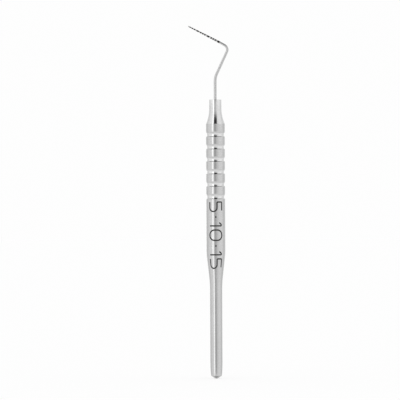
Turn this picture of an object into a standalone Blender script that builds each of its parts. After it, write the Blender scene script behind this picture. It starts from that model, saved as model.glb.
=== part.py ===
"""Single-ended periodontal probe, modelled upright: the handle lies on Z and the wire bends in the XZ plane.

The origin is the middle of the small flat at the tail's end. The tip points to -X and the elbow to +X.
"""

import math

import bmesh
import bpy
from mathutils import Vector

MM = 0.001

# Handle tube, outside. Heights are measured from the tail's end.
GRIP_R = 4.0 * MM
TAIL_R = 2.6 * MM
TUBE_TOP_Z = 108.05 * MM
TUBE_FOOT_Z = 1.15 * MM
TUBE_FOOT_R = 2.27 * MM
TAPER_TOP_Z = 53.1 * MM
TAPER_FOOT_Z = 40.4 * MM
TAPER_TOP_BLEND_R = 27.0 * MM
TAPER_FOOT_BLEND_R = 54.0 * MM
TAIL_EASE_Z = 5.5 * MM
TAIL_EASE_BLEND_R = 82.0 * MM
TAIL_SHOULDER_R = 2.44 * MM
TAIL_SHOULDER_Z = 2.4 * MM
TAIL_SHOULDER_BLEND_R = 9.0 * MM

# Grip rings: a land, a soft bevel below it, and a shallow groove whose lip curls out to the next ring's edge.
RING_COUNT = 6
RING_PITCH = 5.28 * MM
RING_LAND = 3.35 * MM
RING_BEVEL = 1.0 * MM
GROOVE_R = 3.58 * MM
GROOVE_FOOT_R = 3.73 * MM
RING_EDGE_BREAK = 0.2 * MM
SEAM_EDGE_BREAK = 0.04 * MM
RING_BEVEL_BLEND_R = 2.0 * MM
GROOVE_BLEND_R = 1.2 * MM
GROOVE_LIP_HEIGHT = 0.26 * MM
GROOVE_LIP_BLEND_R = 1.1 * MM

# Handle tube, inside.
GRIP_BORE_R = 3.0 * MM
TAIL_BORE_R = 1.6 * MM

# Nose collar.
COLLAR_TOP_Z = 118.35 * MM
COLLAR_R = 2.6 * MM
COLLAR_EDGE_BREAK = 0.12 * MM
FLARE_TOP_Z = 114.8 * MM
SPIGOT_LENGTH = 12.0 * MM
SPIGOT_CHAMFER = 0.4 * MM

# End plug: a blunt cone whose corner with the end's flat is rounded.
PLUG_NOSE_R = 0.55 * MM
PLUG_NOSE_BLEND_R = 1.0 * MM
PLUG_SPIGOT_LENGTH = 6.0 * MM
PLUG_CHAMFER = 0.25 * MM

# Working end: corner points of the wire's centreline in the XZ plane, and its bend radii.
TANG_LENGTH = 16.0 * MM
FIRST_BEND_Z = 127.85 * MM
FIRST_BEND_R = 8.0 * MM
ELBOW_X = 5.86 * MM
ELBOW_Z = 140.46 * MM
ELBOW_R = 2.2 * MM
ARM_EASE_X = 1.06 * MM
ARM_EASE_Z = 143.18 * MM
ARM_EASE_R = 60.0 * MM
TIP_X = -11.38 * MM
TIP_Z = 149.6 * MM
TANG_CHAMFER = 0.15 * MM

# Wire radius against the distance from the tip, straight between these points.
TIP_R = 0.235 * MM
WIRE_RADII = (
    (0.0, TIP_R),
    (15.0 * MM, 0.45 * MM),
    (19.0 * MM, 0.53 * MM),
    (34.0 * MM, 0.59 * MM),
)

# Millimetre marks: first and last whole millimetre of each, as in the 15 mm probe pattern.
MARKS = (
    (1, 1), (2, 2), (3, 3), (4, 5),
    (6, 6), (7, 7), (8, 8), (9, 10),
    (11, 11), (12, 12), (13, 13), (14, 15),
)
LINE_WIDTH = 0.56 * MM
BAND_WIDTH = 1.1 * MM
MARK_DEPTH = 0.08 * MM

# Fits and resolution.
FIT_GAP = 0.01 * MM
MARK_GAP = 0.005 * MM
MERGE_DISTANCE = 0.0005 * MM
TURNED_SIDES = 40
WIRE_SIDES = 14
ARC_STEPS = 2
FLARE_STEPS = 6
BEND_STEPS = 8
TIP_STEPS = 3

SMOOTH_LIMIT = math.radians(35.0)


def clear_scene():
    for item in list(bpy.data.objects):
        bpy.data.objects.remove(item, do_unlink=True)


def make_material(name, color, metallic, roughness):
    material = bpy.data.materials.new(name)
    material.use_nodes = True
    shader = material.node_tree.nodes["Principled BSDF"]
    shader.inputs["Base Color"].default_value = (*color, 1.0)
    shader.inputs["Metallic"].default_value = metallic
    shader.inputs["Roughness"].default_value = roughness
    return material


def rounded_path(corners):
    """Points and directions along straight runs whose corners (x, z, radius, steps) are rounded with arcs."""
    spots = [Vector((corner[0], corner[1])) for corner in corners]
    heading = (spots[1] - spots[0]).normalized()
    path = [(spots[0], heading)]
    for index in range(1, len(corners) - 1):
        corner = spots[index]
        following = (spots[index + 1] - corner).normalized()
        radius = corners[index][2]
        steps = corners[index][3]
        turn = heading.angle_signed(following)
        if radius == 0.0:
            path.append((corner, heading))
        else:
            tangent_length = radius * math.tan(abs(turn) / 2.0)
            side = Vector((heading.y, -heading.x)) * math.copysign(1.0, turn)
            start = corner - heading * tangent_length
            for step in range(steps + 1):
                angle = abs(turn) * step / steps
                along = heading * math.sin(angle)
                across = side * (1.0 - math.cos(angle))
                direction = (heading * math.cos(angle) + side * math.sin(angle)).normalized()
                path.append((start + (along + across) * radius, direction))
        heading = following
    path.append((spots[-1], heading))
    return path


def rounded_outline(corners):
    """Just the points of a rounded path, for turned outlines of (radius, height)."""
    return [point for point, heading in rounded_path(corners)]


def finish_object(name, mesh_data, material, origin_z):
    """Turn a bmesh in the probe's frame into a named object whose own origin is on the axis at origin_z."""
    bmesh.ops.recalc_face_normals(mesh_data, faces=mesh_data.faces)
    bmesh.ops.translate(mesh_data, verts=mesh_data.verts, vec=(0.0, 0.0, -origin_z))
    mesh = bpy.data.meshes.new(name)
    mesh_data.to_mesh(mesh)
    mesh_data.free()
    mesh.shade_smooth()
    mesh.set_sharp_from_angle(angle=SMOOTH_LIMIT)
    mesh.materials.append(material)
    item = bpy.data.objects.new(name, mesh)
    item.location.z = origin_z
    bpy.context.scene.collection.objects.link(item)
    return item


def turned_object(name, outline, material, origin_z, hollow):
    """Spin an outline of (radius, height) points round Z. A hollow piece's outline is a closed loop."""
    mesh_data = bmesh.new()
    verts = [mesh_data.verts.new((point.x, 0.0, point.y)) for point in outline]
    edges = [mesh_data.edges.new(pair) for pair in zip(verts, verts[1:])]
    if hollow:
        edges.append(mesh_data.edges.new((verts[-1], verts[0])))
    bmesh.ops.spin(
        mesh_data,
        geom=verts + edges,
        axis=(0.0, 0.0, 1.0),
        cent=(0.0, 0.0, 0.0),
        angle=math.tau,
        steps=TURNED_SIDES,
        use_merge=True,
    )
    bmesh.ops.remove_doubles(mesh_data, verts=mesh_data.verts, dist=MERGE_DISTANCE)
    return finish_object(name, mesh_data, material, origin_z)


def grip_outline():
    """Outside of the rings, from the tube's top down to the plain stretch's top edge."""
    corners = []
    for ring in range(RING_COUNT):
        top = TUBE_TOP_Z - ring * RING_PITCH
        bevel_top = top - RING_LAND
        groove_top = bevel_top - RING_BEVEL
        groove_foot = top - RING_PITCH
        corners.append((GRIP_R, top, RING_EDGE_BREAK if ring else SEAM_EDGE_BREAK, 1))
        corners.append((GRIP_R, bevel_top, RING_BEVEL_BLEND_R, ARC_STEPS))
        corners.append((GROOVE_R, groove_top, GROOVE_BLEND_R, ARC_STEPS))
        corners.append((GROOVE_R, groove_foot + GROOVE_LIP_HEIGHT, GROOVE_LIP_BLEND_R, ARC_STEPS))
        corners.append((GROOVE_FOOT_R, groove_foot, 0.0, 0))
    corners.append((GRIP_R, TUBE_TOP_Z - RING_COUNT * RING_PITCH, RING_EDGE_BREAK, 1))
    return corners


def tail_outline():
    """Outside below the plain stretch: the long taper, the slim tail and its eased foot."""
    return [
        (GRIP_R, TAPER_TOP_Z, TAPER_TOP_BLEND_R, ARC_STEPS),
        (TAIL_R, TAPER_FOOT_Z, TAPER_FOOT_BLEND_R, ARC_STEPS),
        (TAIL_R, TAIL_EASE_Z, TAIL_EASE_BLEND_R, ARC_STEPS),
        (TAIL_SHOULDER_R, TAIL_SHOULDER_Z, TAIL_SHOULDER_BLEND_R, ARC_STEPS),
        (TUBE_FOOT_R, TUBE_FOOT_Z, 0.0, 0),
    ]


def make_handle_tube(material):
    corners = [(GRIP_BORE_R, TUBE_TOP_Z, 0.0, 0)]
    corners += grip_outline()
    corners += tail_outline()
    corners += [
        (TAIL_BORE_R, TUBE_FOOT_Z, 0.0, 0),
        (TAIL_BORE_R, TAPER_FOOT_Z, 0.0, 0),
        (GRIP_BORE_R, TAPER_TOP_Z, 0.0, 0),
    ]
    # The last corner repeats the first, so that every other corner is rounded; the repeat is then dropped.
    corners.append(corners[0])
    outline = rounded_outline(corners)[:-1]
    return turned_object("handle_tube", outline, material, TUBE_FOOT_Z, hollow=True)


def make_nose_collar(material):
    flare_foot_z = TUBE_TOP_Z + FIT_GAP
    rise = FLARE_TOP_Z - flare_foot_z
    spread = GRIP_R - COLLAR_R
    flare_radius = (rise * rise + spread * spread) / (2.0 * spread)
    flare = []
    for step in range(FLARE_STEPS + 1):
        drop = rise * step / FLARE_STEPS
        radius = COLLAR_R + flare_radius - math.sqrt(flare_radius * flare_radius - drop * drop)
        flare.append((radius, FLARE_TOP_Z - drop, 0.0, 0))
    bore = wire_radius(TANG_DISTANCE) + FIT_GAP
    spigot = GRIP_BORE_R - FIT_GAP
    spigot_foot_z = TUBE_TOP_Z - SPIGOT_LENGTH
    corners = [
        (bore, COLLAR_TOP_Z, 0.0, 0),
        (COLLAR_R, COLLAR_TOP_Z, COLLAR_EDGE_BREAK, ARC_STEPS),
        *flare,
        (spigot, flare_foot_z, 0.0, 0),
        (spigot, spigot_foot_z + SPIGOT_CHAMFER, 0.0, 0),
        (spigot - SPIGOT_CHAMFER, spigot_foot_z, 0.0, 0),
        (bore, spigot_foot_z, 0.0, 0),
    ]
    return turned_object("nose_collar", rounded_outline(corners), material, TUBE_TOP_Z, hollow=True)


def make_end_plug(material):
    spigot = TAIL_BORE_R - FIT_GAP
    head_top_z = TUBE_FOOT_Z - FIT_GAP
    spigot_top_z = TUBE_FOOT_Z + PLUG_SPIGOT_LENGTH
    corners = [
        (0.0, spigot_top_z, 0.0, 0),
        (spigot - PLUG_CHAMFER, spigot_top_z, 0.0, 0),
        (spigot, spigot_top_z - PLUG_CHAMFER, 0.0, 0),
        (spigot, head_top_z, 0.0, 0),
        (TUBE_FOOT_R, head_top_z, 0.0, 0),
        (PLUG_NOSE_R, 0.0, PLUG_NOSE_BLEND_R, ARC_STEPS),
        (0.0, 0.0, 0.0, 0),
    ]
    return turned_object("end_plug", rounded_outline(corners), material, 0.0, hollow=False)


def wire_centreline():
    """The wire's centreline from the tip to the tang's foot."""
    return rounded_path([
        (TIP_X, TIP_Z, 0.0, 0),
        (ARM_EASE_X, ARM_EASE_Z, ARM_EASE_R, ARC_STEPS),
        (ELBOW_X, ELBOW_Z, ELBOW_R, BEND_STEPS),
        (0.0, FIRST_BEND_Z, FIRST_BEND_R, BEND_STEPS // 2),
        (0.0, COLLAR_TOP_Z - TANG_LENGTH, 0.0, 0),
    ])


def path_distances(path):
    distances = [0.0]
    for (point, heading), (following, next_heading) in zip(path, path[1:]):
        distances.append(distances[-1] + (following - point).length)
    return distances


CENTRELINE = wire_centreline()
DISTANCES = path_distances(CENTRELINE)
TANG_DISTANCE = DISTANCES[-1]


def wire_radius(distance):
    """Radius of the wire at a distance from its tip."""
    for (low, low_radius), (high, high_radius) in zip(WIRE_RADII, WIRE_RADII[1:]):
        if distance <= high:
            share = (distance - low) / (high - low)
            return low_radius + (high_radius - low_radius) * share
    return WIRE_RADII[-1][1]


def wire_frame(distance):
    """Position and direction of the centreline at a distance from the tip."""
    for index in range(len(DISTANCES) - 1):
        if distance <= DISTANCES[index + 1]:
            point, heading = CENTRELINE[index]
            following, next_heading = CENTRELINE[index + 1]
            share = (distance - DISTANCES[index]) / (DISTANCES[index + 1] - DISTANCES[index])
            return point.lerp(following, share), heading.lerp(next_heading, share).normalized()
    return CENTRELINE[-1]


def wire_ring(mesh_data, distance, radius):
    """One circle of vertices round the centreline, or a single vertex where the radius is nothing."""
    point, heading = wire_frame(distance)
    centre = Vector((point.x, 0.0, point.y))
    across = Vector((heading.y, 0.0, -heading.x))
    if radius == 0.0:
        return [mesh_data.verts.new(centre)]
    ring = []
    for side in range(WIRE_SIDES):
        angle = math.tau * side / WIRE_SIDES
        offset = across * math.cos(angle) + Vector((0.0, 1.0, 0.0)) * math.sin(angle)
        ring.append(mesh_data.verts.new(centre + offset * radius))
    return ring


def join_rings(mesh_data, first, second):
    for side in range(WIRE_SIDES):
        following = (side + 1) % WIRE_SIDES
        if len(first) == 1:
            mesh_data.faces.new((first[0], second[following], second[side]))
        elif len(second) == 1:
            mesh_data.faces.new((first[side], first[following], second[0]))
        else:
            mesh_data.faces.new((first[side], first[following], second[following], second[side]))


def wire_object(name, stations, material, closed):
    """Skin the stations (distance, radius) along the centreline. A closed one joins its last to its first."""
    mesh_data = bmesh.new()
    rings = [wire_ring(mesh_data, distance, radius) for distance, radius in stations]
    for first, second in zip(rings, rings[1:]):
        join_rings(mesh_data, first, second)
    if closed:
        join_rings(mesh_data, rings[-1], rings[0])
    return finish_object(name, mesh_data, material, COLLAR_TOP_Z)


def mark_span(first_mm, last_mm):
    """Start and end of a mark, as distances from the tip."""
    middle = (first_mm + last_mm) / 2.0 * MM
    width = LINE_WIDTH if first_mm == last_mm else BAND_WIDTH
    return middle - width / 2.0, middle + width / 2.0


def tip_stations():
    """The blunt rounded end, from its pole to its full radius."""
    stations = [(0.0, 0.0)]
    for step in range(1, TIP_STEPS + 1):
        angle = math.pi / 2.0 * step / TIP_STEPS
        distance = TIP_R * (1.0 - math.cos(angle))
        stations.append((distance, wire_radius(distance) * math.sin(angle)))
    return stations


def make_working_end(material):
    stations = tip_stations()
    for first_mm, last_mm in MARKS:
        start, end = mark_span(first_mm, last_mm)
        stations.append((start, wire_radius(start)))
        stations.append((start, wire_radius(start) - MARK_DEPTH))
        stations.append((end, wire_radius(end) - MARK_DEPTH))
        stations.append((end, wire_radius(end)))
    for distance in DISTANCES[1:-1]:
        stations.append((distance, wire_radius(distance)))
    tang_radius = wire_radius(TANG_DISTANCE)
    stations.append((TANG_DISTANCE - TANG_CHAMFER, tang_radius))
    stations.append((TANG_DISTANCE, tang_radius - TANG_CHAMFER))
    stations.append((TANG_DISTANCE, 0.0))
    return wire_object("working_end", stations, material, closed=False)


def make_mark(first_mm, last_mm, material, wire):
    """One ring of resin in its groove, parented to the wire that it is cast on."""
    start, end = mark_span(first_mm, last_mm)
    start += MARK_GAP
    end -= MARK_GAP
    floor = MARK_DEPTH - MARK_GAP
    stations = [
        (start, wire_radius(start)),
        (end, wire_radius(end)),
        (end, wire_radius(end) - floor),
        (start, wire_radius(start) - floor),
    ]
    name = f"mark_{first_mm:02d}mm" if first_mm == last_mm else f"mark_{first_mm:02d}_{last_mm:02d}mm"
    mark = wire_object(name, stations, material, closed=True)
    mark.parent = wire
    mark.location.z = 0.0


def build_probe():
    clear_scene()
    probe = bpy.data.objects.new("probe", None)
    bpy.context.scene.collection.objects.link(probe)
    satin_steel = make_material("satin_steel", (0.62, 0.62, 0.61), 1.0, 0.34)
    polished_steel = make_material("polished_steel", (0.68, 0.68, 0.67), 1.0, 0.18)
    mark_resin = make_material("mark_resin", (0.012, 0.012, 0.013), 0.0, 0.45)
    wire = make_working_end(polished_steel)
    for first_mm, last_mm in MARKS:
        make_mark(first_mm, last_mm, mark_resin, wire)
    handle_pieces = [
        make_handle_tube(satin_steel),
        make_nose_collar(polished_steel),
        make_end_plug(polished_steel),
        wire,
    ]
    for piece in handle_pieces:
        piece.parent = probe


build_probe()
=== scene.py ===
"""Looks for the periodontal probe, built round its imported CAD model.

Everything is in metres in the CAD frame: the handle lies on Z, the wire bends in the XZ plane, and the tip
points to -X. The turned pieces and the wire are rebuilt finely inside the CAD pieces that they stand for.
"""

import math

import bmesh
import bpy
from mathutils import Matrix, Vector


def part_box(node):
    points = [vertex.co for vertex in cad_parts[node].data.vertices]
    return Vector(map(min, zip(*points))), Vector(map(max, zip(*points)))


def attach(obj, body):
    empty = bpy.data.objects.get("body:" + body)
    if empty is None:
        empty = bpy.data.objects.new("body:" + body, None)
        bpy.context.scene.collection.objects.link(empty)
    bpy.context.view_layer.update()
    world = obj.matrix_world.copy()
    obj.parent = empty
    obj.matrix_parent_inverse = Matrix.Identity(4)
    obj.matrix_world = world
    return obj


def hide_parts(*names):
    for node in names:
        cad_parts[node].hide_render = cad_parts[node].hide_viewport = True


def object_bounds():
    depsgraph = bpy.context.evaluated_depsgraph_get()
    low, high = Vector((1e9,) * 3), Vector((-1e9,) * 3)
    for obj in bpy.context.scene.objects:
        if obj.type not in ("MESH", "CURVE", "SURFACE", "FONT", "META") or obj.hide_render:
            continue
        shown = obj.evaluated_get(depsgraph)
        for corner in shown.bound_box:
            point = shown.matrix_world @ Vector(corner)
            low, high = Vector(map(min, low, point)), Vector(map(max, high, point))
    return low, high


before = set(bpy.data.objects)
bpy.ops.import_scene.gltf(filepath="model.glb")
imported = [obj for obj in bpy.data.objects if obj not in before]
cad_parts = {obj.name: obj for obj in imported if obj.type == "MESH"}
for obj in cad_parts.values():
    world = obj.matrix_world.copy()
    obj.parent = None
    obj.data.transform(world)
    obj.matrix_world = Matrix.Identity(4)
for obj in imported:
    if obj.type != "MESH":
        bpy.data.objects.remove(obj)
cad_low, cad_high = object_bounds()

MM = 0.001

# ---- Sizes read from the CAD model ----
tube_low, tube_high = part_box("handle_tube")
COLLAR_TOP_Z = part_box("nose_collar")[1].z
TANG_FOOT_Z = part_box("working_end")[0].z
GRIP_R = tube_high.x
TUBE_TOP_Z = tube_high.z
TUBE_FOOT_Z = tube_low.z

# ---- Sizes that the CAD model's script also states ----
TAIL_R = 2.6 * MM
TUBE_FOOT_R = 2.27 * MM
TAPER_TOP_Z = 53.1 * MM
TAPER_FOOT_Z = 40.4 * MM
TAPER_TOP_BLEND_R = 27.0 * MM
TAPER_FOOT_BLEND_R = 54.0 * MM
TAIL_EASE_Z = 5.5 * MM
TAIL_EASE_BLEND_R = 82.0 * MM
TAIL_SHOULDER_R = 2.44 * MM
TAIL_SHOULDER_Z = 2.4 * MM
TAIL_SHOULDER_BLEND_R = 9.0 * MM
GRIP_BORE_R = 3.0 * MM
TAIL_BORE_R = 1.6 * MM

RING_COUNT = 6
RING_PITCH = 5.28 * MM
RING_LAND = 3.35 * MM
RING_BEVEL = 1.0 * MM
GROOVE_R = 3.58 * MM
GROOVE_FOOT_R = 3.73 * MM
GROOVE_LIP_HEIGHT = 0.26 * MM

COLLAR_R = 2.6 * MM
FLARE_TOP_Z = 114.8 * MM
SPIGOT_LENGTH = 12.0 * MM

PLUG_NOSE_R = 0.55 * MM
PLUG_NOSE_BLEND_R = 1.0 * MM
PLUG_SPIGOT_LENGTH = 6.0 * MM

FIRST_BEND_Z = 127.85 * MM
FIRST_BEND_R = 8.0 * MM
ELBOW = (5.86 * MM, 140.46 * MM)
ELBOW_R = 2.2 * MM
ARM_EASE = (1.06 * MM, 143.18 * MM)
ARM_EASE_R = 60.0 * MM
TIP = (-11.38 * MM, 149.6 * MM)
TIP_R = 0.235 * MM
WIRE_RADII = (
    (0.0, TIP_R),
    (15.0 * MM, 0.45 * MM),
    (19.0 * MM, 0.53 * MM),
    (34.0 * MM, 0.59 * MM),
)
MARKS = (
    (1, 1), (2, 2), (3, 3), (4, 5),
    (6, 6), (7, 7), (8, 8), (9, 10),
    (11, 11), (12, 12), (13, 13), (14, 15),
)
LINE_WIDTH = 0.56 * MM
BAND_WIDTH = 1.1 * MM
MARK_DEPTH = 0.08 * MM
MARK_GAP = 0.005 * MM
FIT_GAP = 0.01 * MM

# ---- Fineness of the visible meshes ----
TURNED_SIDES = 128
WIRE_SIDES = 32
BLEND_STEPS = 8
FLARE_STEPS = 16
WIRE_BEND_STEPS = 16
EDGE_STEPS = 3

# ---- Small edges that only the visible meshes have ----
RING_CHAMFER = 0.2 * MM
RING_CHAMFER_BLEND_R = 0.06 * MM
GROOVE_FOOT_BLEND_R = 0.03 * MM
GROOVE_LIP_BLEND_R = 1.1 * MM
RING_BEVEL_BLEND_R = 2.0 * MM
GROOVE_BLEND_R = 1.2 * MM
COLLAR_EDGE_BREAK = 0.08 * MM
SEAM_BREAK = 0.03 * MM
BORE_CHAMFER = 0.1 * MM
MARK_EDGE_BREAK = 0.02 * MM


# =====================================================================================================
# Shapes
# =====================================================================================================


def rounded_path(corners, steps=BLEND_STEPS):
    """Points and directions along straight runs between corners of (x, z, radius to round them to)."""
    spots = [Vector((corner[0], corner[1])) for corner in corners]
    heading = (spots[1] - spots[0]).normalized()
    path = [(spots[0], heading)]
    for index in range(1, len(corners) - 1):
        corner = spots[index]
        radius = corners[index][2]
        following = (spots[index + 1] - corner).normalized()
        turn = heading.angle_signed(following)
        if radius == 0.0:
            path.append((corner, (heading + following).normalized()))
        else:
            side = Vector((heading.y, -heading.x)) * math.copysign(1.0, turn)
            start = corner - heading * radius * math.tan(abs(turn) / 2.0)
            for step in range(steps + 1):
                angle = abs(turn) * step / steps
                offset = heading * math.sin(angle) + side * (1.0 - math.cos(angle))
                direction = heading * math.cos(angle) + side * math.sin(angle)
                path.append((start + offset * radius, direction.normalized()))
        heading = following
    path.append((spots[-1], heading))
    return path


def outline_of(corners, steps=BLEND_STEPS):
    """Just the points of a rounded path."""
    return [point for point, heading in rounded_path(corners, steps)]


# Each turned piece and the wire carry a wear value on their vertices: 1 where handling has polished them.
WEAR_ATTRIBUTE = "wear"
WEAR_BEND = math.radians(9.0)
POLISHED_TIP_END = 18.0 * MM
POLISHED_TIP_FADE = 1.5 * MM


def bend_wear(points, closed):
    """Wear along an outline: 1 where it turns sharply outwards, as at a ring's edge, and 0 elsewhere."""
    wear = []
    for index, point in enumerate(points):
        before = points[index - 1] if closed or index else point
        after = points[(index + 1) % len(points)] if closed or index < len(points) - 1 else point
        arriving, leaving = point - before, after - point
        if arriving.length == 0.0 or leaving.length == 0.0:
            wear.append(0.0)
            continue
        turn = arriving.angle_signed(leaving, 0.0)
        wear.append(min(1.0, max(0.0, turn / WEAR_BEND)))
    return wear


SHARP_ANGLE = math.radians(32.0)


def finish_piece(name, mesh_data, material):
    """Turn a bmesh into a smooth named piece that rides on the probe's one body."""
    bmesh.ops.recalc_face_normals(mesh_data, faces=mesh_data.faces)
    mesh = bpy.data.meshes.new(name)
    mesh_data.to_mesh(mesh)
    mesh_data.free()
    mesh.shade_smooth()
    mesh.set_sharp_from_angle(angle=SHARP_ANGLE)
    mesh.materials.append(material)
    piece = bpy.data.objects.new(name, mesh)
    bpy.context.scene.collection.objects.link(piece)
    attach(piece, "root")
    return piece


def skin_loops(mesh_data, loops, closed):
    """Faces between neighbouring vertex loops, and from the last to the first if closed.

    A loop of one vertex is a pole.
    """
    pairs = list(zip(loops, loops[1:]))
    if closed:
        pairs.append((loops[-1], loops[0]))
    for first, second in pairs:
        count = max(len(first), len(second))
        for index in range(count):
            following = (index + 1) % count
            if len(first) == 1:
                mesh_data.faces.new((first[0], second[following], second[index]))
            elif len(second) == 1:
                mesh_data.faces.new((first[index], first[following], second[0]))
            else:
                mesh_data.faces.new((first[index], first[following], second[following], second[index]))


ON_AXIS_R = 0.001 * MM


def turned_piece(name, outline, material, hollow):
    """Turn an outline of (radius, height) points round Z. A hollow piece's outline is a closed loop."""
    mesh_data = bmesh.new()
    wear_layer = mesh_data.verts.layers.float.new(WEAR_ATTRIBUTE)
    loops = []
    for point, wear in zip(outline, bend_wear(outline, hollow)):
        if point.x < ON_AXIS_R:
            loops.append([mesh_data.verts.new((0.0, 0.0, point.y))])
            continue
        loop = []
        for side in range(TURNED_SIDES):
            angle = math.tau * side / TURNED_SIDES
            vertex = mesh_data.verts.new((point.x * math.cos(angle), point.x * math.sin(angle), point.y))
            vertex[wear_layer] = wear
            loop.append(vertex)
        loops.append(loop)
    skin_loops(mesh_data, loops, hollow)
    return finish_piece(name, mesh_data, material)


# ---- Handle ----


def handle_corners():
    """Outside of the handle from its top edge to its foot, as (radius, height, corner radius)."""
    corners = []
    for ring in range(RING_COUNT):
        top = TUBE_TOP_Z - ring * RING_PITCH
        bevel_top = top - RING_LAND
        groove_foot = top - RING_PITCH
        if ring == 0:
            corners.append((GRIP_R, top, SEAM_BREAK))
        corners.append((GRIP_R, bevel_top, RING_BEVEL_BLEND_R))
        corners.append((GROOVE_R, bevel_top - RING_BEVEL, GROOVE_BLEND_R))
        corners.append((GROOVE_R, groove_foot + GROOVE_LIP_HEIGHT, GROOVE_LIP_BLEND_R))
        corners.append((GROOVE_FOOT_R, groove_foot, GROOVE_FOOT_BLEND_R))
        corners.append((GRIP_R - RING_CHAMFER, groove_foot, RING_CHAMFER_BLEND_R))
        corners.append((GRIP_R, groove_foot - RING_CHAMFER, RING_CHAMFER_BLEND_R))
    corners.append((GRIP_R, TAPER_TOP_Z, TAPER_TOP_BLEND_R))
    corners.append((TAIL_R, TAPER_FOOT_Z, TAPER_FOOT_BLEND_R))
    corners.append((TAIL_R, TAIL_EASE_Z, TAIL_EASE_BLEND_R))
    corners.append((TAIL_SHOULDER_R, TAIL_SHOULDER_Z, TAIL_SHOULDER_BLEND_R))
    corners.append((TUBE_FOOT_R, TUBE_FOOT_Z, SEAM_BREAK))
    return corners


# From the rim of the bore at the handle's top, down its outside, to the rim of the bore at its foot.
HANDLE_OUTLINE = outline_of([
    (GRIP_BORE_R, TUBE_TOP_Z, 0.0),
    *handle_corners(),
    (TAIL_BORE_R, TUBE_FOOT_Z, 0.0),
])


def handle_radius(z):
    """Outside radius of the handle at a height, read along its own outline."""
    for upper, lower in zip(HANDLE_OUTLINE[1:], HANDLE_OUTLINE[2:]):
        if lower.y <= z <= upper.y and upper.y > lower.y:
            return lower.x + (upper.x - lower.x) * (z - lower.y) / (upper.y - lower.y)
    raise ValueError("the handle has no such height")


def make_handle(material):
    """The handle tube, with its bore."""
    bore = [Vector((TAIL_BORE_R, TAPER_FOOT_Z)), Vector((GRIP_BORE_R, TAPER_TOP_Z))]
    piece = turned_piece("handle", HANDLE_OUTLINE + bore, material, hollow=True)
    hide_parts("handle_tube")


def make_collar(material):
    """The nose collar: a straight neck, a flare on one arc, and a spigot in the tube."""
    rise = FLARE_TOP_Z - TUBE_TOP_Z - FIT_GAP
    spread = GRIP_R - COLLAR_R
    flare_radius = (rise * rise + spread * spread) / (2.0 * spread)
    flare = []
    for step in range(FLARE_STEPS + 1):
        drop = rise * step / FLARE_STEPS
        radius = COLLAR_R + flare_radius - math.sqrt(flare_radius * flare_radius - drop * drop)
        flare.append((radius, FLARE_TOP_Z - drop, 0.0))
    flare_foot = flare.pop()
    bore = wire_radius(TANG_DISTANCE) + FIT_GAP
    spigot = GRIP_BORE_R - FIT_GAP
    spigot_foot = TUBE_TOP_Z - SPIGOT_LENGTH
    corners = [
        (bore, COLLAR_TOP_Z - BORE_CHAMFER, 0.0),
        (bore + BORE_CHAMFER, COLLAR_TOP_Z, 0.0),
        (COLLAR_R, COLLAR_TOP_Z, COLLAR_EDGE_BREAK),
        *flare,
        (flare_foot[0], flare_foot[1], SEAM_BREAK),
        (spigot, flare_foot[1], 0.0),
        (spigot, spigot_foot, COLLAR_EDGE_BREAK),
        (bore, spigot_foot, 0.0),
    ]
    piece = turned_piece("collar", outline_of(corners, EDGE_STEPS), material, hollow=True)
    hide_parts("nose_collar")


def make_tail_cap(material):
    """The end plug: a blunt cone, and a spigot in the tube."""
    spigot = TAIL_BORE_R - FIT_GAP
    head_top = TUBE_FOOT_Z - FIT_GAP
    corners = [
        (0.0, TUBE_FOOT_Z + PLUG_SPIGOT_LENGTH, 0.0),
        (spigot, TUBE_FOOT_Z + PLUG_SPIGOT_LENGTH, COLLAR_EDGE_BREAK),
        (spigot, head_top, 0.0),
        (TUBE_FOOT_R, head_top, SEAM_BREAK),
        (PLUG_NOSE_R, 0.0, PLUG_NOSE_BLEND_R),
        (0.0, 0.0, 0.0),
    ]
    piece = turned_piece("tail_cap", outline_of(corners), material, hollow=False)
    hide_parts("end_plug")


# ---- Wire and its marks ----

CENTRELINE = rounded_path([
    (*TIP, 0.0),
    (*ARM_EASE, ARM_EASE_R),
    (*ELBOW, ELBOW_R),
    (0.0, FIRST_BEND_Z, FIRST_BEND_R),
    (0.0, TANG_FOOT_Z, 0.0),
], WIRE_BEND_STEPS)
DISTANCES = [0.0]
for here, there in zip(CENTRELINE, CENTRELINE[1:]):
    DISTANCES.append(DISTANCES[-1] + (there[0] - here[0]).length)
TANG_DISTANCE = DISTANCES[-1]


def wire_radius(distance):
    """Radius of the wire at a distance from its tip."""
    for (low, low_radius), (high, high_radius) in zip(WIRE_RADII, WIRE_RADII[1:]):
        if distance <= high:
            share = (distance - low) / (high - low)
            return low_radius + (high_radius - low_radius) * share
    return WIRE_RADII[-1][1]


def wire_frame(distance):
    """Position and direction of the centreline at a distance from the tip."""
    for index in range(len(DISTANCES) - 1):
        if distance <= DISTANCES[index + 1]:
            point, heading = CENTRELINE[index]
            following, next_heading = CENTRELINE[index + 1]
            share = (distance - DISTANCES[index]) / (DISTANCES[index + 1] - DISTANCES[index])
            return point.lerp(following, share), heading.lerp(next_heading, share).normalized()
    return CENTRELINE[-1]


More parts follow.
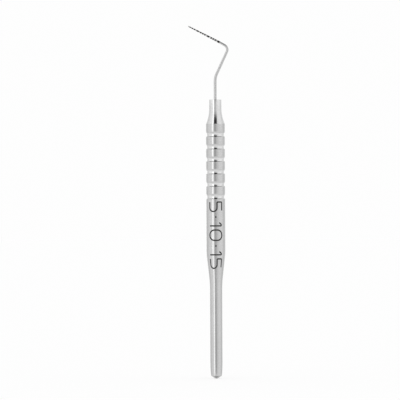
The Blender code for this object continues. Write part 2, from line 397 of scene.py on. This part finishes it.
def wire_piece(name, stations, material, closed):
    """Skin (distance, radius) stations along the centreline. A closed one joins its last to its first."""
    mesh_data = bmesh.new()
    wear_layer = mesh_data.verts.layers.float.new(WEAR_ATTRIBUTE)
    loops = []
    for distance, radius in stations:
        point, heading = wire_frame(distance)
        centre = Vector((point.x, 0.0, point.y))
        across = Vector((heading.y, 0.0, -heading.x))
        if radius == 0.0:
            loops.append([mesh_data.verts.new(centre)])
            continue
        wear = min(1.0, max(0.0, (POLISHED_TIP_END - distance) / POLISHED_TIP_FADE))
        loop = []
        for side in range(WIRE_SIDES):
            angle = math.tau * side / WIRE_SIDES
            offset = across * math.cos(angle) + Vector((0.0, 1.0, 0.0)) * math.sin(angle)
            vertex = mesh_data.verts.new(centre + offset * radius)
            vertex[wear_layer] = wear
            loop.append(vertex)
        loops.append(loop)
    skin_loops(mesh_data, loops, closed)
    return finish_piece(name, mesh_data, material)


def mark_span(first_mm, last_mm):
    """Where a mark starts and ends, as distances from the tip."""
    middle = (first_mm + last_mm) / 2.0 * MM
    width = LINE_WIDTH if first_mm == last_mm else BAND_WIDTH
    return middle - width / 2.0, middle + width / 2.0


def make_wire(material):
    """The bent wire: a round tip, a groove for each mark, and a plain wire from there to the tang's foot."""
    stations = [(0.0, 0.0)]
    for step in range(1, BLEND_STEPS + 1):
        angle = math.pi / 2.0 * step / BLEND_STEPS
        distance = TIP_R * (1.0 - math.cos(angle))
        stations.append((distance, wire_radius(distance) * math.sin(angle)))
    for first_mm, last_mm in MARKS:
        start, end = mark_span(first_mm, last_mm)
        stations.append((start - MARK_EDGE_BREAK, wire_radius(start)))
        stations.append((start, wire_radius(start) - MARK_EDGE_BREAK / 2.0))
        stations.append((start, wire_radius(start) - MARK_DEPTH))
        stations.append((end, wire_radius(end) - MARK_DEPTH))
        stations.append((end, wire_radius(end) - MARK_EDGE_BREAK / 2.0))
        stations.append((end + MARK_EDGE_BREAK, wire_radius(end)))
    for distance in DISTANCES[1:]:
        if distance > stations[-1][0]:
            stations.append((distance, wire_radius(distance)))
    stations.append((TANG_DISTANCE, 0.0))
    piece = wire_piece("wire", stations, material, closed=False)
    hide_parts("working_end")


def make_mark(first_mm, last_mm, material):
    """The filling of one groove: a ring with slightly broken edges."""
    start, end = mark_span(first_mm, last_mm)
    start += MARK_GAP
    end -= MARK_GAP
    stations = [
        (start, wire_radius(start) - MARK_EDGE_BREAK),
        (start + MARK_EDGE_BREAK, wire_radius(start)),
        (end - MARK_EDGE_BREAK, wire_radius(end)),
        (end, wire_radius(end) - MARK_EDGE_BREAK),
        (end, wire_radius(end) - MARK_DEPTH + MARK_GAP),
        (start, wire_radius(start) - MARK_DEPTH + MARK_GAP),
    ]
    label = f"{first_mm:02d}mm" if first_mm == last_mm else f"{first_mm:02d}_{last_mm:02d}mm"
    piece = wire_piece("band_" + label, stations, material, closed=True)
    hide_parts("mark_" + label)


# ---- Etched legend: the plain numbers 5, 10 and 15, for the tip's wide bands ----

LEGEND_TOP_Z = 75.2 * MM
LEGEND_HEIGHT = 6.0 * MM
STROKE = 0.6 * MM
SIGN_GAP = 2.0 * MM
DIGIT_GAP = 1.75 * MM
INK_RISE = 0.006 * MM
INK_DEPTH = 0.02 * MM
STROKE_SPACING = 0.2 * MM
# Across a stroke, as (share of its half width, height): four strips on top, to bend with the handle, and
# one underneath.
RIBBON_SECTION = (
    (1.0, INK_RISE),
    (0.5, INK_RISE),
    (0.0, INK_RISE),
    (-0.5, INK_RISE),
    (-1.0, INK_RISE),
    (-1.0, -INK_DEPTH),
    (1.0, -INK_DEPTH),
)
CAP_V = (LEGEND_HEIGHT - STROKE) / 2.0
SMALL_TURN_R = 0.34 * MM
FIVE_WIDTH = 4.0 * MM
FIVE_FLAG_WIDTH = 3.6 * MM
FIVE_WAIST_V = 0.55 * MM
# A little under half of the bowl's height, so that its two round corners stay apart.
FIVE_BOWL_R = (CAP_V + FIVE_WAIST_V) * 0.498
ONE_WIDTH = 1.4 * MM
ONE_PEAK_V = CAP_V + 0.35 * MM
ONE_FLAG_V = CAP_V * 0.55
ZERO_WIDTH = 4.4 * MM
ZERO_R = 2.1 * MM
DOT_WIDTH = 0.7 * MM

# Each sign's centre line as (along the reading direction, up, corner radius) and whether it closes on itself.
SIGNS = {
    "5": (
        [
            (FIVE_FLAG_WIDTH, CAP_V, 0.0),
            (0.0, CAP_V, SMALL_TURN_R),
            (0.0, FIVE_WAIST_V, SMALL_TURN_R),
            (FIVE_WIDTH, FIVE_WAIST_V, FIVE_BOWL_R),
            (FIVE_WIDTH, -CAP_V, FIVE_BOWL_R),
            (0.0, -CAP_V, 0.0),
        ],
        False,
    ),
    "1": (
        [
            (0.0, ONE_FLAG_V, 0.0),
            (ONE_WIDTH, ONE_PEAK_V, SMALL_TURN_R),
            (ONE_WIDTH, -CAP_V, 0.0),
        ],
        False,
    ),
    "0": (
        [
            (0.0, 0.0, 0.0),
            (0.0, CAP_V, ZERO_R),
            (ZERO_WIDTH, CAP_V, ZERO_R),
            (ZERO_WIDTH, -CAP_V, ZERO_R),
            (0.0, -CAP_V, ZERO_R),
            (0.0, 0.0, 0.0),
        ],
        True,
    ),
    "dot": ([(0.0, 0.0, 0.0), (DOT_WIDTH, 0.0, 0.0)], False),
}


def spaced_path(corners):
    """A rounded path with points close enough to bend round the handle."""
    path = rounded_path(corners)
    spaced = [path[0]]
    for (point, heading), (following, next_heading) in zip(path, path[1:]):
        pieces = max(1, math.ceil((following - point).length / STROKE_SPACING))
        for part in range(1, pieces):
            spaced.append((point.lerp(following, part / pieces), (following - point).normalized()))
        spaced.append((following, next_heading))
    return spaced


def on_handle(along, up, lift):
    """A point of the legend: it reads down the handle, with its letters' tops towards +X."""
    z = LEGEND_TOP_Z - along
    radius = handle_radius(z)
    angle = up / GRIP_R
    return ((radius + lift) * math.sin(angle), -(radius + lift) * math.cos(angle), z)


def make_sign(name, sign, first_along, material):
    """Skin a flat ribbon along a sign's centre line, on the handle's surface."""
    corners, closed = SIGNS[sign]
    path = spaced_path(corners)
    if closed:
        path = path[:-1]
    mesh_data = bmesh.new()
    loops = []
    for point, heading in path:
        side = Vector((-heading.y, heading.x)) * STROKE / 2.0
        loop = []
        for share, lift in RIBBON_SECTION:
            place = point + side * share
            loop.append(mesh_data.verts.new(on_handle(first_along + place.x, place.y, lift)))
        loops.append(loop)
    skin_loops(mesh_data, loops, closed)
    if not closed:
        mesh_data.faces.new(loops[0])
        mesh_data.faces.new(loops[-1])
    finish_piece(name, mesh_data, material)


def make_legend(material):
    """Set the signs one after another, starting at the legend's top."""
    along = STROKE / 2.0
    for index, sign in enumerate(("5", "dot", "1", "0", "dot", "1", "5")):
        make_sign(f"legend_{index}_{sign}", sign, along, material)
        width = max(corner[0] for corner in SIGNS[sign][0])
        along += width + (DIGIT_GAP if sign == "1" else SIGN_GAP)


# =====================================================================================================
# Materials
# =====================================================================================================


def new_material(name, color, metallic, roughness):
    """A material, its node tree and its shader, with the uniform values on the shader's own sockets."""
    material = bpy.data.materials.new(name)
    material.use_nodes = True
    shader = material.node_tree.nodes["Principled BSDF"]
    shader.inputs["Base Color"].default_value = (*color, 1.0)
    shader.inputs["Metallic"].default_value = metallic
    shader.inputs["Roughness"].default_value = roughness
    return material, material.node_tree, shader


def math_node(tree, operation, first, second=None):
    """One step of arithmetic on values that are sockets or plain numbers."""
    node = tree.nodes.new("ShaderNodeMath")
    node.operation = operation
    for socket, value in zip(node.inputs, (first, second)):
        if isinstance(value, bpy.types.NodeSocket):
            tree.links.new(value, socket)
        elif value is not None:
            socket.default_value = value
    return node.outputs["Value"]


def map_range(tree, value, start, end, low=0.0, high=1.0, smooth=True):
    """Go from low to high as value goes from start to end, and no further."""
    node = tree.nodes.new("ShaderNodeMapRange")
    node.interpolation_type = "SMOOTHSTEP" if smooth else "LINEAR"
    tree.links.new(value, node.inputs["Value"])
    for name, number in (("From Min", start), ("From Max", end), ("To Min", low), ("To Max", high)):
        if isinstance(number, bpy.types.NodeSocket):
            tree.links.new(number, node.inputs[name])
        else:
            node.inputs[name].default_value = number
    return node.outputs["Result"]


def factor_by(tree, share, full):
    """A factor of 1 where share is 0, rising or falling straight to full where share is 1."""
    return map_range(tree, share, 0.0, 1.0, 1.0, full, smooth=False)


def object_vector(tree, scale):
    """The object's own coordinates in metres, multiplied by a scale along each axis."""
    coordinates = tree.nodes.new("ShaderNodeTexCoord")
    mapping = tree.nodes.new("ShaderNodeMapping")
    tree.links.new(coordinates.outputs["Object"], mapping.inputs["Vector"])
    mapping.inputs["Scale"].default_value = scale
    return mapping.outputs["Vector"]


def noise_of_size(tree, sizes, detail):
    """Noise whose features have these sizes along X, Y and Z."""
    noise = tree.nodes.new("ShaderNodeTexNoise")
    noise.inputs["Scale"].default_value = 1.0
    noise.inputs["Detail"].default_value = detail
    tree.links.new(object_vector(tree, tuple(1.0 / size for size in sizes)), noise.inputs["Vector"])
    return noise.outputs["Fac"]


def add_bump(tree, shader, height, depth):
    """Lay a height on top of the bumps that the shader already has."""
    bump = tree.nodes.new("ShaderNodeBump")
    bump.inputs["Strength"].default_value = 1.0
    bump.inputs["Distance"].default_value = depth
    tree.links.new(height, bump.inputs["Height"])
    if shader.inputs["Normal"].is_linked:
        tree.links.new(shader.inputs["Normal"].links[0].from_socket, bump.inputs["Normal"])
    tree.links.new(bump.outputs["Normal"], shader.inputs["Normal"])


def set_grey(tree, shader, value):
    """Use one value for all three channels of the base colour."""
    grey = tree.nodes.new("ShaderNodeCombineColor")
    for channel in ("Red", "Green", "Blue"):
        tree.links.new(value, grey.inputs[channel])
    tree.links.new(grey.outputs["Color"], shader.inputs["Base Color"])


WEAR_PATCH_SIZE = (0.9 * MM, 0.9 * MM, 0.5 * MM)
WEAR_PATCH_START = 0.35
WEAR_PATCH_FULL = 0.6
LEAST_WEAR = 0.35
WORN_ROUGHNESS = 0.7


def wear_mask(tree):
    """The polished corners and tip, broken up as handling breaks them up."""
    attribute = tree.nodes.new("ShaderNodeAttribute")
    attribute.attribute_name = WEAR_ATTRIBUTE
    patches = noise_of_size(tree, WEAR_PATCH_SIZE, detail=3.0)
    worn_share = map_range(tree, patches, WEAR_PATCH_START, WEAR_PATCH_FULL, LEAST_WEAR, 1.0)
    return math_node(tree, "MULTIPLY", attribute.outputs["Fac"], worn_share)


POLISH_STARTS_R = GRIP_R - 0.16 * MM
POLISH_FULL_R = GROOVE_R + 0.08 * MM
RINGS_FOOT_Z = TUBE_TOP_Z - RING_COUNT * RING_PITCH
POLISH_FOOT_Z = RINGS_FOOT_Z - 0.4 * MM
POLISH_FOOT_FADE = 0.3 * MM
FACED_DEPTH = 0.03 * MM
FACED_ROUGHNESS = 0.55


def height_value(tree):
    """A point's height in the frame."""
    split = tree.nodes.new("ShaderNodeSeparateXYZ")
    tree.links.new(object_vector(tree, (1.0, 1.0, 1.0)), split.inputs["Vector"])
    return split.outputs["Z"]


def polished_share(tree):
    """How far a point of the handle lies down in its grooves, which are brighter than the satin rings."""
    radius = tree.nodes.new("ShaderNodeVectorMath")
    radius.operation = "LENGTH"
    tree.links.new(object_vector(tree, (1.0, 1.0, 0.0)), radius.inputs[0])
    depth = map_range(tree, radius.outputs["Value"], POLISH_STARTS_R, POLISH_FULL_R)
    in_rings = map_range(tree, height_value(tree), POLISH_FOOT_Z, POLISH_FOOT_Z + POLISH_FOOT_FADE)
    return math_node(tree, "MULTIPLY", depth, in_rings)


def faced_share(tree, face_z):
    """1 on the flat that was turned square across the top of a piece, and 0 just below it."""
    return map_range(tree, height_value(tree), face_z - FACED_DEPTH, face_z - FACED_DEPTH / 3.0)


# Most of a noise lies between these two values.
NOISE_LOW = 0.3
NOISE_HIGH = 0.7


def vary(tree, value, noise, spread):
    """Take a value up and down by a share of itself, as a noise goes up and down."""
    factor = map_range(tree, noise, NOISE_LOW, NOISE_HIGH, 1.0 - spread, 1.0 + spread)
    return math_node(tree, "MULTIPLY", value, factor)


SMUDGE_SIZE = (7.0 * MM, 7.0 * MM, 11.0 * MM)
SPECKLE_SIZE = (0.45 * MM, 0.45 * MM, 0.45 * MM)
TURNING_MARK_SIZE = (16.0 * MM, 16.0 * MM, 0.16 * MM)
SMUDGE_TONE_SPREAD = 0.025
SPECKLE_TONE_SPREAD = 0.05
TURNING_TONE_SPREAD = 0.015
# Roughness of clean and smudged steel, as shares of the material's own, and where in the noise smudges start.
CLEAN_SHARE = 0.85
SMUDGED_SHARE = 1.35
SMUDGE_START = 0.35
# The strongest speckles add this share of the material's own roughness.
SPECKLE_START = 0.4
SPECKLE_FULL = 0.8
SPECKLE_SHARE = 0.25


def steel_material(name, tone, roughness, turning=0.0, grain=0.0, grooves=None, faced_z=None, worn=1.1):
    """Steel with smudges, fine speckles and turning marks round Z.

    turning and grain are the depths of the turning marks and the speckles. grooves is the tone and roughness
    down in the handle's grooves. faced_z is the height of a flat top with a matt turned finish. worn is how
    many times brighter the steel is where handling has polished it.
    """
    material, tree, shader = new_material(name, (tone, tone, tone), 1.0, roughness)
    smudges = noise_of_size(tree, SMUDGE_SIZE, detail=4.0)
    speckle = noise_of_size(tree, SPECKLE_SIZE, detail=2.0)
    marks = noise_of_size(tree, TURNING_MARK_SIZE, detail=3.0)
    wear = wear_mask(tree)

    value = vary(tree, tone, smudges, SMUDGE_TONE_SPREAD)
    value = vary(tree, value, speckle, SPECKLE_TONE_SPREAD)
    value = vary(tree, value, marks, TURNING_TONE_SPREAD)
    clean = roughness * CLEAN_SHARE
    smudged = roughness * SMUDGED_SHARE
    speckled = map_range(tree, speckle, SPECKLE_START, SPECKLE_FULL, 0.0, roughness * SPECKLE_SHARE)
    rough = map_range(tree, smudges, SMUDGE_START, NOISE_HIGH, clean, smudged)
    rough = math_node(tree, "ADD", rough, speckled)
    if grooves:
        groove_tone, groove_roughness = grooves
        share = polished_share(tree)
        value = math_node(tree, "MULTIPLY", value, factor_by(tree, share, groove_tone / tone))
        rough = math_node(tree, "MULTIPLY", rough, factor_by(tree, share, groove_roughness / roughness))
    value = math_node(tree, "MULTIPLY", value, factor_by(tree, wear, worn))
    rough = math_node(tree, "MULTIPLY", rough, factor_by(tree, wear, WORN_ROUGHNESS))
    if faced_z is not None:
        faced = math_node(tree, "MULTIPLY", faced_share(tree, faced_z), FACED_ROUGHNESS)
        rough = math_node(tree, "ADD", rough, faced)
    set_grey(tree, shader, value)
    tree.links.new(rough, shader.inputs["Roughness"])
    if turning:
        add_bump(tree, shader, marks, turning)
    if grain:
        add_bump(tree, shader, speckle, grain)
    return material


PIT_SIZE = (0.12 * MM, 0.12 * MM, 0.12 * MM)
PIT_DEPTH = 0.004 * MM
PATCH_SIZE = (0.8 * MM, 0.8 * MM, 0.8 * MM)
PATCH_ROUGHNESS_SPREAD = 0.15
# Tones as shares of the material's own, and where in the noise each change starts and ends.
PIT_START = 0.45
PIT_FULL = 0.75
PLAIN_TONE_SHARE = 0.8
PIT_TONE_SHARE = 1.7
PATCH_START = 0.4
PATCH_LOW_SHARE = 0.85
PATCH_HIGH_SHARE = 1.25


def resin_material(name, tone, roughness, gloss):
    """Black filling or etching: nearly matt, with fine pits and a few paler worn specks."""
    material, tree, shader = new_material(name, (tone, tone, tone), 0.0, roughness)
    shader.inputs["Specular IOR Level"].default_value = gloss
    pits = noise_of_size(tree, PIT_SIZE, detail=3.0)
    patches = noise_of_size(tree, PATCH_SIZE, detail=3.0)
    value = map_range(tree, pits, PIT_START, PIT_FULL, tone * PLAIN_TONE_SHARE, tone * PIT_TONE_SHARE)
    patch_tone = map_range(tree, patches, PATCH_START, NOISE_HIGH, PATCH_LOW_SHARE, PATCH_HIGH_SHARE)
    set_grey(tree, shader, math_node(tree, "MULTIPLY", value, patch_tone))
    rough = vary(tree, roughness, patches, PATCH_ROUGHNESS_SPREAD)
    tree.links.new(rough, shader.inputs["Roughness"])
    add_bump(tree, shader, pits, PIT_DEPTH)
    return material


# =====================================================================================================
# Stage
# =====================================================================================================

CAMERA_DISTANCE = 1.7
CAMERA_OFFSET = Vector((-3.82 * MM, 0.0, 0.93 * MM))
CAMERA_ROLL = math.radians(0.26)
FRAME_WIDTH = 169.8 * MM
SENSOR_WIDTH = 36.0
CLIP_START = 0.05
CLIP_END = 20.0
FLOOR_SIZE = 6.0


def make_camera():
    """Level with the middle of the probe and square to the plane of the bent wire."""
    data = bpy.data.cameras.new("camera")
    data.sensor_width = SENSOR_WIDTH
    data.lens = SENSOR_WIDTH * CAMERA_DISTANCE / FRAME_WIDTH
    data.clip_start = CLIP_START
    data.clip_end = CLIP_END
    camera = bpy.data.objects.new("camera", data)
    bpy.context.scene.collection.objects.link(camera)
    aim = (cad_low + cad_high) / 2.0 + CAMERA_OFFSET
    camera.location = aim + Vector((0.0, -CAMERA_DISTANCE, 0.0))
    camera.rotation_euler = (math.pi / 2.0, CAMERA_ROLL, 0.0)
    bpy.context.scene.camera = camera


FLOOR_ROUGHNESS = 0.9
FLOOR_TONE = 0.3
FLOOR_LIGHT = 1.12
BACKDROP_TONE = 0.988


def make_floor():
    """A plain pale floor that lights up to the backdrop's tone, and that the metal doesn't mirror."""
    mesh_data = bmesh.new()
    bmesh.ops.create_grid(mesh_data, x_segments=1, y_segments=1, size=FLOOR_SIZE)
    mesh = bpy.data.meshes.new("floor")
    mesh_data.to_mesh(mesh)
    mesh_data.free()
    floor = bpy.data.objects.new("floor", mesh)
    bpy.context.scene.collection.objects.link(floor)
    floor_color = (FLOOR_TONE, FLOOR_TONE, FLOOR_TONE)
    material, tree, shader = new_material("pale_floor", floor_color, 0.0, FLOOR_ROUGHNESS)
    shader.inputs["Specular IOR Level"].default_value = 0.0
    shader.inputs["Emission Color"].default_value = (1.0, 1.0, 1.0, 1.0)
    shader.inputs["Emission Strength"].default_value = BACKDROP_TONE - FLOOR_TONE * FLOOR_LIGHT
    mesh.materials.append(material)
    floor.visible_glossy = False


# Brightness round the horizon as metal sees it, against the direction in degrees to the right of the camera.
TENT = (
    (-180, 0.50),
    (-177, 0.55),
    (-175, 1.60),
    (-167, 1.60),
    (-164, 0.75),
    (-150, 0.80),
    (-135, 0.74),
    (-115, 0.74),
    (-95, 0.88),
    (-70, 0.94),
    (-45, 0.94),
    (-43, 1.50),
    (-28, 1.50),
    (-25, 0.90),
    (-19, 0.85),
    (-15, 0.48),
    (4, 0.51),
    (13, 0.72),
    (25, 0.78),
    (38, 0.88),
    (51, 0.92),
    (80, 0.94),
    (97, 0.84),
    (117, 0.72),
    (140, 0.80),
    (165, 0.80),
    (172, 0.55),
    (180, 0.50),
)
TENT_TOP = 2.0
# The heights below are a direction's Z: -1 is straight down, 0 is level and 1 is straight up.
SWEEP_BRIGHTNESS = 0.87
SWEEP_START = -0.5
SWEEP_END = -0.15
SLOT_HALF_WIDTH = math.radians(27.0)
SLOT_CORE_HALF_WIDTH = math.radians(22.0)
SLOT_FOOT = 0.12
SLOT_CORE_FOOT = 0.6
SLOT_DEPTH = 0.96
CEILING_START = 0.68
CEILING_END = 0.88
CEILING_DEPTH = 0.95
# How far a direction leans back, away from the camera, where the dark top gives way to the sweep.
REAR_START = 0.1
REAR_END = 0.35
GROUND_START = -0.72
GROUND_END = -0.97
GROUND_DEPTH = 0.42


def tent_brightness(tree):
    """How bright the tent is in each direction, as the metal sees it.

    Its open slot above the camera, its dark top and one bright strip show in the metal. Behind the probe the
    white sweep reaches up and over, so the dark top ends there.
    """
    coordinates = tree.nodes.new("ShaderNodeTexCoord")
    split = tree.nodes.new("ShaderNodeSeparateXYZ")
    tree.links.new(coordinates.outputs["Generated"], split.inputs["Vector"])
    height = split.outputs["Z"]
    towards_camera = math_node(tree, "MULTIPLY", split.outputs["Y"], -1.0)
    azimuth = math_node(tree, "ARCTAN2", split.outputs["X"], towards_camera)
    place = math_node(tree, "ADD", math_node(tree, "DIVIDE", azimuth, math.tau), 0.5)

    ramp = tree.nodes.new("ShaderNodeValToRGB")
    tree.links.new(place, ramp.inputs["Fac"])
    elements = ramp.color_ramp.elements
    elements.remove(elements[-1])
    for index, (degrees, brightness) in enumerate(TENT):
        element = elements[0] if index == 0 else elements.new(degrees / 360.0 + 0.5)
        element.position = degrees / 360.0 + 0.5
        level = brightness / TENT_TOP
        element.color = (level, level, level, 1.0)
    wall = math_node(tree, "MULTIPLY", ramp.outputs["Color"], TENT_TOP)

    above_sweep = map_range(tree, height, SWEEP_START, SWEEP_END)
    tent = math_node(tree, "MULTIPLY", math_node(tree, "SUBTRACT", wall, SWEEP_BRIGHTNESS), above_sweep)
    tent = math_node(tree, "ADD", tent, SWEEP_BRIGHTNESS)
    slot_side = map_range(tree, math_node(tree, "ABSOLUTE", azimuth), SLOT_HALF_WIDTH, SLOT_CORE_HALF_WIDTH)
    slot_up = map_range(tree, height, SLOT_FOOT, SLOT_CORE_FOOT, 0.0, SLOT_DEPTH)
    slot = math_node(tree, "MULTIPLY", slot_side, slot_up)
    tent = math_node(tree, "MULTIPLY", tent, math_node(tree, "SUBTRACT", 1.0, slot))
    sideways = math_node(tree, "ABSOLUTE", split.outputs["X"])
    rearward = math_node(tree, "SUBTRACT", split.outputs["Y"], sideways)
    covered = map_range(tree, rearward, REAR_START, REAR_END, CEILING_DEPTH, 0.0)
    opening = math_node(tree, "MULTIPLY", map_range(tree, height, CEILING_START, CEILING_END), covered)
    tent = math_node(tree, "MULTIPLY", tent, math_node(tree, "SUBTRACT", 1.0, opening))
    ground = map_range(tree, height, GROUND_END, GROUND_START, 1.0 - GROUND_DEPTH, 1.0)
    return math_node(tree, "MULTIPLY", tent, ground)


def make_world():
    """The tent where the metal mirrors it, an even light on all else, and a plain backdrop for the camera."""
    world = bpy.data.worlds.new("studio")
    bpy.context.scene.world = world
    world.use_nodes = True
    tree = world.node_tree
    tree.nodes.clear()
    path = tree.nodes.new("ShaderNodeLightPath")
    metal = tree.nodes.new("ShaderNodeBackground")
    tree.links.new(tent_brightness(tree), metal.inputs["Color"])
    plain = tree.nodes.new("ShaderNodeBackground")
    plain.inputs["Strength"].default_value = FLOOR_LIGHT
    backdrop = tree.nodes.new("ShaderNodeBackground")
    backdrop.inputs["Strength"].default_value = BACKDROP_TONE
    for background in (plain, backdrop):
        background.inputs["Color"].default_value = (1.0, 1.0, 1.0, 1.0)
    seen_in_metal = tree.nodes.new("ShaderNodeMixShader")
    tree.links.new(path.outputs["Is Glossy Ray"], seen_in_metal.inputs["Fac"])
    tree.links.new(plain.outputs["Background"], seen_in_metal.inputs[1])
    tree.links.new(metal.outputs["Background"], seen_in_metal.inputs[2])
    seen_directly = tree.nodes.new("ShaderNodeMixShader")
    tree.links.new(path.outputs["Is Camera Ray"], seen_directly.inputs["Fac"])
    tree.links.new(seen_in_metal.outputs["Shader"], seen_directly.inputs[1])
    tree.links.new(backdrop.outputs["Background"], seen_directly.inputs[2])
    output = tree.nodes.new("ShaderNodeOutputWorld")
    tree.links.new(seen_directly.outputs["Shader"], output.inputs["Surface"])


# =====================================================================================================
# Build
# =====================================================================================================

bpy.context.scene.view_settings.view_transform = "Standard"
make_camera()
make_world()
make_floor()

handle_steel = steel_material(
    "satin_steel_look", tone=0.64, roughness=0.14, turning=0.002 * MM, grain=0.003 * MM, grooves=(0.82, 0.09)
)
collar_steel = steel_material(
    "polished_steel_look", tone=0.79, roughness=0.15, turning=0.0012 * MM, faced_z=COLLAR_TOP_Z
)
cap_steel = steel_material("tail_cap_look", tone=0.51, roughness=0.16, turning=0.0015 * MM)
wire_steel = steel_material("wire_steel_look", tone=0.63, roughness=0.27, grain=0.002 * MM, worn=1.3)
resin = resin_material("mark_resin_look", tone=0.004, roughness=0.5, gloss=0.12)
etching = resin_material("etched_legend_look", tone=0.038, roughness=0.55, gloss=0.3)

make_handle(handle_steel)
make_collar(collar_steel)
make_tail_cap(cap_steel)
make_wire(wire_steel)
for first_mm, last_mm in MARKS:
    make_mark(first_mm, last_mm, resin)
make_legend(etching)
